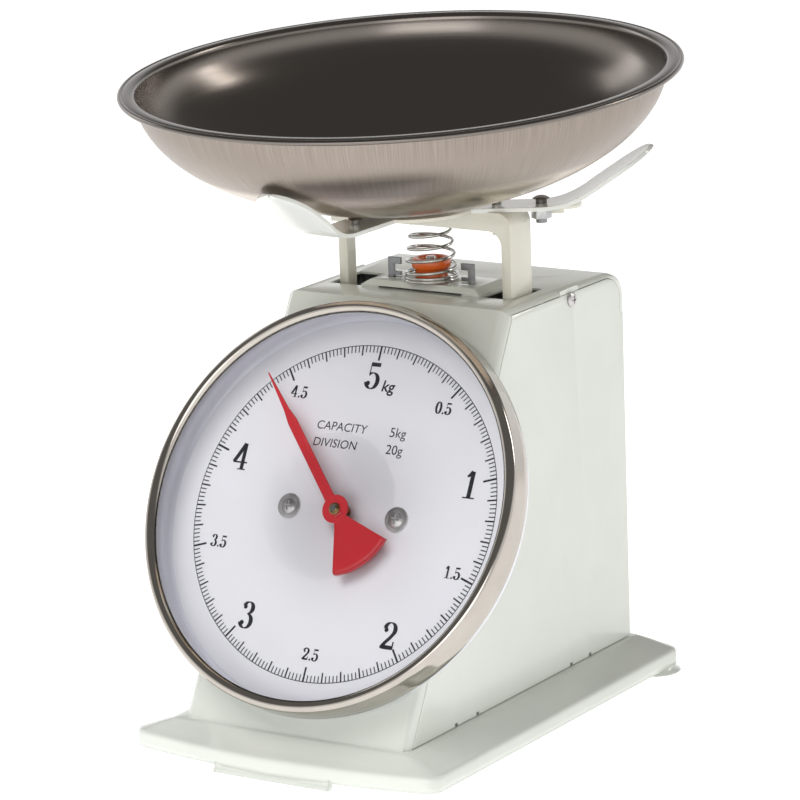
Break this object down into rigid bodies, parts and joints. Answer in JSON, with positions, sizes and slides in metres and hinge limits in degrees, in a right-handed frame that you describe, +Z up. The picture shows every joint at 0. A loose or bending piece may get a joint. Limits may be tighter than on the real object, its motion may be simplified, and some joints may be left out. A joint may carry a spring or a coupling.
{
  "type": "spring dial kitchen scale",
  "caption": "Mechanical kitchen scale with a round leaning dial, a loose steel bowl on a three-arm cradle, a sliding post frame and a rack-driven pointer.",
  "frame": {"origin": "on the floor under the centre of the bowl, at the bottom centre of the whole scale", "axes": "+Z up, -Y towards the reader on the dial side, +X to the reader's right as they face the dial"},
  "size_m": [0.25, 0.2496, 0.2999],
  "materials": {
    "body_enamel": "glossy off-white enamel",
    "frame_enamel": "semi-gloss cream enamel",
    "zinc_steel": "bright zinc plate",
    "dark_steel": "darkened zinc plate",
    "spring_steel": "bright drawn wire",
    "dial_pan_enamel": "grey-lavender enamel",
    "dial_print": "printed satin white",
    "polished_steel": "polished stainless steel",
    "clear_lens": "clear",
    "clear_film": "clear satin",
    "seal_rubber": "matt black",
    "pointer_red": "satin red",
    "brass": "machined",
    "white_nylon": "natural",
    "knob_orange": "semi-gloss orange",
    "bowl_steel": "brushed stainless steel"
  },
  "bodies": {
    "housing": {"base_plate": "body_enamel", "front_shell": "body_enamel", "rear_cover": "body_enamel", "cover_screws": "zinc_steel", "base_screws": "zinc_steel", "spring_bridge": "body_enamel", "dial_pan": "dial_pan_enamel", "dial_face": "dial_print", "dial_screws": "zinc_steel", "dial_nuts": "zinc_steel", "bezel": "polished_steel", "lens": "clear_lens", "lens_film": "clear_film", "lens_seal": "seal_rubber", "movement_front_plate": "zinc_steel", "movement_back_plate": "zinc_steel", "movement_pillars": "zinc_steel", "rack_guides": "white_nylon", "front_bush": "brass", "back_bush": "brass", "guide_bracket": "zinc_steel", "guide_blocks": "white_nylon", "stop_bumper": "seal_rubber"},
    "platform": {"post_frame": "frame_enamel", "lower_yoke": "zinc_steel", "yoke_screws": "zinc_steel", "main_spring_left": "spring_steel", "main_spring_right": "spring_steel", "buffer_spring": "spring_steel", "cradle_plate": "frame_enamel", "cradle_arm_front": "frame_enamel", "cradle_arm_right": "frame_enamel", "cradle_arm_left": "frame_enamel", "cradle_rivet": "zinc_steel", "platform_screws": "zinc_steel", "platform_nuts": "zinc_steel", "arm_bolts": "dark_steel", "arm_washers": "dark_steel", "arm_nuts": "dark_steel"},
    "rack": {"rack": "zinc_steel", "rack_pin": "zinc_steel"},
    "pointer": {"pointer": "pointer_red", "pointer_boss": "brass", "pointer_shaft": "spring_steel", "pinion": "brass"},
    "hanger": {"hanger_plate": "zinc_steel", "zero_stud": "zinc_steel"},
    "zero_knob": {"zero_knob": "knob_orange"},
    "bowl": {"bowl": "bowl_steel"}
  },
  "joints": [
    {"name": "platform_slide", "type": "slide", "parent": "housing", "child": "platform", "axis": [0, 0, -1], "range_m": [0, 0.0135], "stiffness_N_per_m": 3700, "springref_m": -0.0026, "deforming": ["main_spring_left", "main_spring_right", "buffer_spring"]},
    {"name": "rack_slide", "type": "slide", "parent": "housing", "child": "rack", "axis": [0, -0.4787, -0.878], "range_m": [0, 0.0154]},
    {"name": "pointer_turn", "type": "hinge", "parent": "housing", "child": "pointer", "pos_m": [0, -0.05718, 0.10351], "axis": [0, -0.878, 0.4787], "range_deg": [-367.5, 0]},
    {"name": "knob_turn", "type": "hinge", "parent": "housing", "child": "zero_knob", "pos_m": [0, 0.0205, 0.1984], "axis": [0, 0, 1], "range_deg": [-360.2, 360.2]},
    {"name": "hanger_slide", "type": "slide", "parent": "housing", "child": "hanger", "axis": [0, 0, 1], "range_m": [-0.0008, 0.0008]},
    {"name": "bowl_lift", "type": "slide", "parent": "platform", "child": "bowl", "axis": [0, 0, 1], "range_m": [0, 0.12]}
  ],
  "couplings": [
    {"joint": "rack_slide", "follows": "platform_slide", "ratio": 1.139},
    {"joint": "pointer_turn", "follows": "platform_slide", "rad_per_m": -474.57},
    {"joint": "knob_turn", "follows": "hanger_slide", "rad_per_m": 7854}
  ]
}
